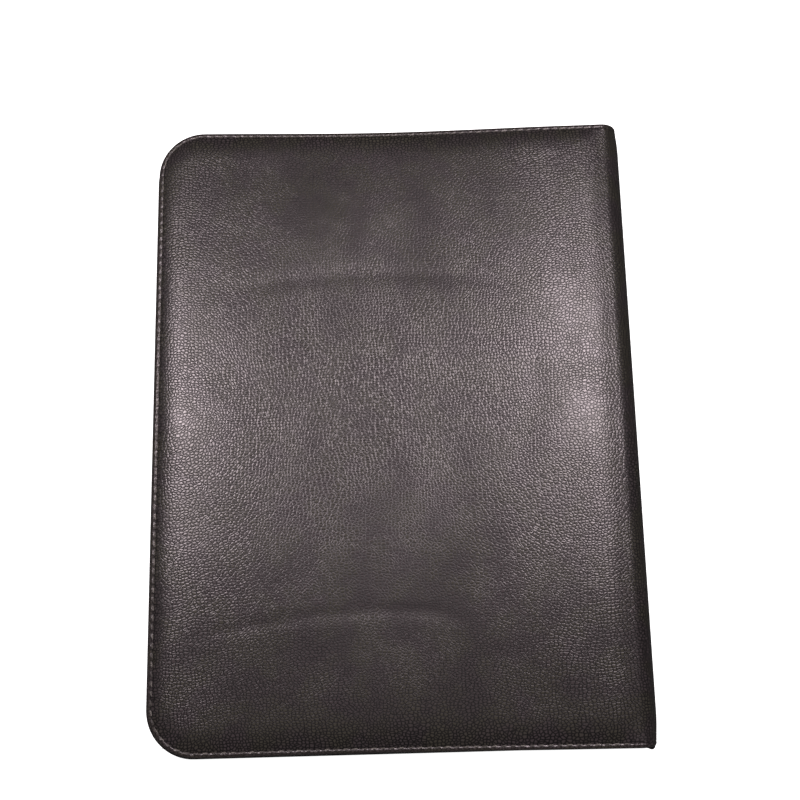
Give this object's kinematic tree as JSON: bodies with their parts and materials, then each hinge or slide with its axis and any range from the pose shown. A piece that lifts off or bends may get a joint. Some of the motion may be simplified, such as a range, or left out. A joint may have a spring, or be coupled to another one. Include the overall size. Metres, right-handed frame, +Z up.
{
  "type": "leather notebook cover",
  "caption": "Soft padded leather notebook cover that opens flat, with pockets, a pen loop and a slide-in writing pad.",
  "frame": {"origin": "on the floor, under the middle of the closed cover's box", "axes": "+Z up, out of the back cover's face; +X towards the spine; +Y towards the head of the pages"},
  "size_m": [0.248, 0.321, 0.0218],
  "materials": {
    "leather": "satin pebble grain",
    "foam": "matt foam",
    "board": "matt grey board",
    "lining": "fine matt weave",
    "pocket_leather": "satin fine grain",
    "thread": "waxed thread",
    "elastic": "ribbed elastic",
    "card": "matt grey-brown card",
    "paper": "matt, ruled",
    "binding_tape": "matt cloth tape"
  },
  "bodies": {
    "front_cover": {"front_leather": "leather", "front_padding": "foam", "front_board": "board", "front_lining": "lining", "front_stitching": "thread", "document_pocket": "pocket_leather", "card_slot_1": "pocket_leather", "card_slot_2": "pocket_leather", "card_slot_3": "pocket_leather", "card_slot_4": "pocket_leather"},
    "spine": {"spine_leather": "leather", "spine_padding": "foam", "spine_stiffener": "board", "spine_lining": "lining", "pen_loop": "elastic"},
    "back_cover": {"back_leather": "leather", "back_padding": "foam", "back_board": "board", "back_lining": "lining", "back_stitching": "thread", "pad_sleeve": "pocket_leather"},
    "writing_pad": {"pad_backing": "card", "paper_block": "paper", "pad_binding": "binding_tape"}
  },
  "joints": [
    {"name": "spine_flex", "type": "hinge", "parent": "front_cover", "child": "spine", "pos_m": [0.12122, 0, 0.00278], "axis": [0, 1, 0], "range_deg": [0, 90]},
    {"name": "back_flex", "type": "hinge", "parent": "spine", "child": "back_cover", "pos_m": [0.12122, 0, 0.01922], "axis": [0, 1, 0], "range_deg": [0, 91.5]},
    {"name": "pad_slide", "type": "slide", "parent": "back_cover", "child": "writing_pad", "axis": [0, 1, 0], "range_m": [0, 0.3]}
  ],
  "couplings": [
    {"joint": "back_flex", "follows": "spine_flex", "ratio": 1.0167}
  ]
}
